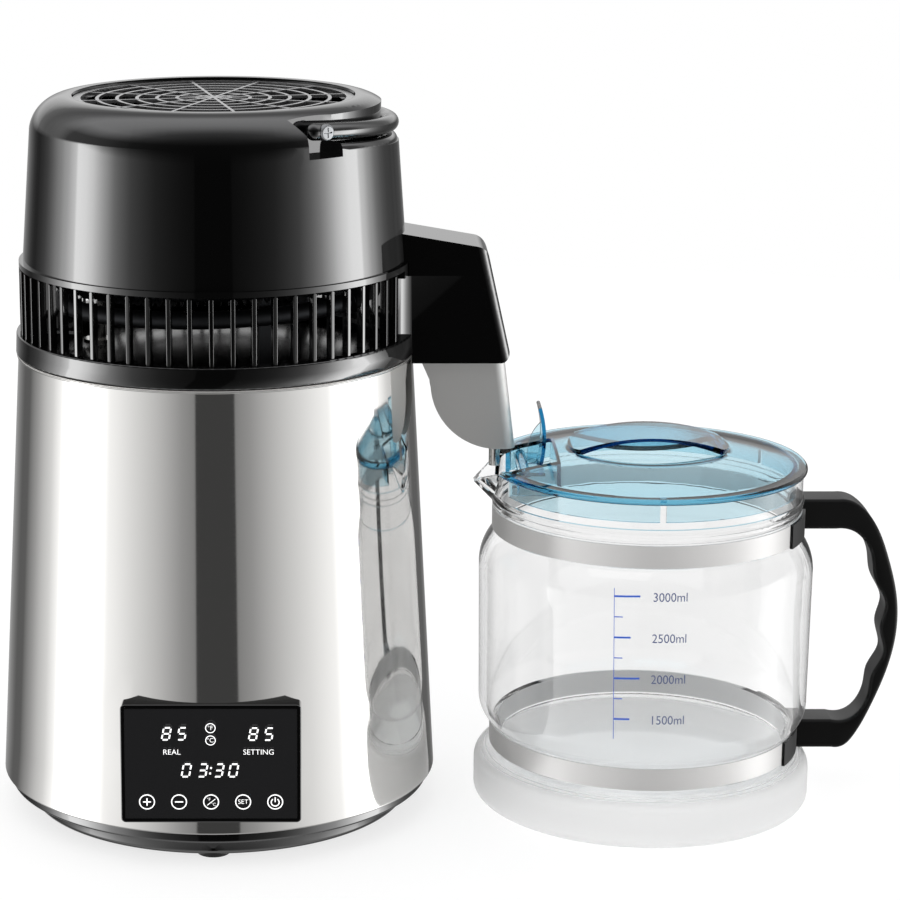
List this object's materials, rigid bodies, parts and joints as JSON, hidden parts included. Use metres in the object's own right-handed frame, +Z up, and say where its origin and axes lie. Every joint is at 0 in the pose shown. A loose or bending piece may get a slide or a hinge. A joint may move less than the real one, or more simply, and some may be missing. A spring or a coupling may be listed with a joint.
{
  "type": "countertop water distiller",
  "caption": "Countertop water distiller: steel boiler body with a front touch panel, lift-off fan and condenser head with spout arm and carrying bail, and a glass jug with lid.",
  "frame": {"origin": "on the machine's own vertical axis, at the level of the bench that its feet and the jug stand on", "axes": "+Z up; the control panel faces -Y; the spout arm and the jug lie along +X"},
  "size_m": [0.4793, 0.2348, 0.3804],
  "materials": {
    "rubber": "satin",
    "black_gloss": "gloss",
    "stainless": "brushed",
    "fastener_steel": "plated",
    "aluminium": "as drawn",
    "dull_steel": "dull",
    "smoked_window": "gloss",
    "board": "matte",
    "spring_brass": "plain",
    "black_metal": "satin",
    "fan_plastic": "satin",
    "jug_glass": "clear",
    "black_matte": "matte",
    "clear_plastic": "clear"
  },
  "bodies": {
    "base_unit": {"rubber_feet": "rubber", "base_tray": "black_gloss", "tray_screws": "fastener_steel", "outer_shell": "stainless", "boiler_pot": "stainless", "heater_plate": "aluminium", "heating_element": "dull_steel", "thermal_cutouts": "fastener_steel", "heater_studs": "fastener_steel", "heater_nuts": "fastener_steel", "spacers": "fastener_steel", "heat_shield": "dull_steel", "panel_bezel": "black_gloss", "panel_window": "smoked_window", "display_module": "board", "control_board": "board", "touch_springs": "spring_brass", "power_inlet": "black_gloss", "fan_socket": "black_gloss"},
    "head": {"head_cover": "black_gloss", "vent_housing": "black_gloss", "fan_grille": "black_metal", "motor_bracket": "black_metal", "bracket_screws": "fastener_steel", "fan_motor": "black_metal", "motor_screws": "fastener_steel", "condenser_coil": "aluminium", "coil_brackets": "aluminium", "condenser_pan": "stainless", "pan_screws": "fastener_steel", "steam_pipe": "stainless", "head_seal": "rubber", "head_screws": "fastener_steel", "fan_inlet": "black_gloss", "outlet_tube": "stainless", "nozzle_guard": "stainless", "bail_screws": "fastener_steel"},
    "fan": {"fan_shaft": "stainless", "fan_rotor": "fan_plastic"},
    "carry_bail": {"carry_bail": "black_metal"},
    "jug": {"glass_jug": "jug_glass", "upper_band": "stainless", "lower_band": "stainless", "jug_handle": "black_matte", "jug_screws": "fastener_steel"},
    "lid": {"jug_lid": "clear_plastic"},
    "pour_flap": {"pour_flap": "clear_plastic"}
  },
  "joints": [
    {"name": "head_lift", "type": "slide", "parent": "base_unit", "child": "head", "axis": [0, 0, 1], "range_m": [0, 0.15]},
    {"name": "bail_hinge", "type": "hinge", "parent": "head", "child": "carry_bail", "pos_m": [0, 0, 0.3702], "axis": [0.6129, -0.7902, 0], "range_deg": [0, 93]},
    {"name": "fan_spin", "type": "hinge", "parent": "head", "child": "fan", "pos_m": [0, 0, 0.347], "axis": [0, 0, 1], "continuous": true},
    {"name": "jug_slide", "type": "slide", "parent": "base_unit", "child": "jug", "axis": [1, 0, 0], "range_m": [0, 0.2]},
    {"name": "lid_lift", "type": "slide", "parent": "jug", "child": "lid", "axis": [0, 0, 1], "range_m": [0, 0.12]},
    {"name": "flap_hinge", "type": "hinge", "parent": "lid", "child": "pour_flap", "pos_m": [0.1624, 0, 0.1827], "axis": [0, 1, 0], "range_deg": [0, 20]}
  ]
}
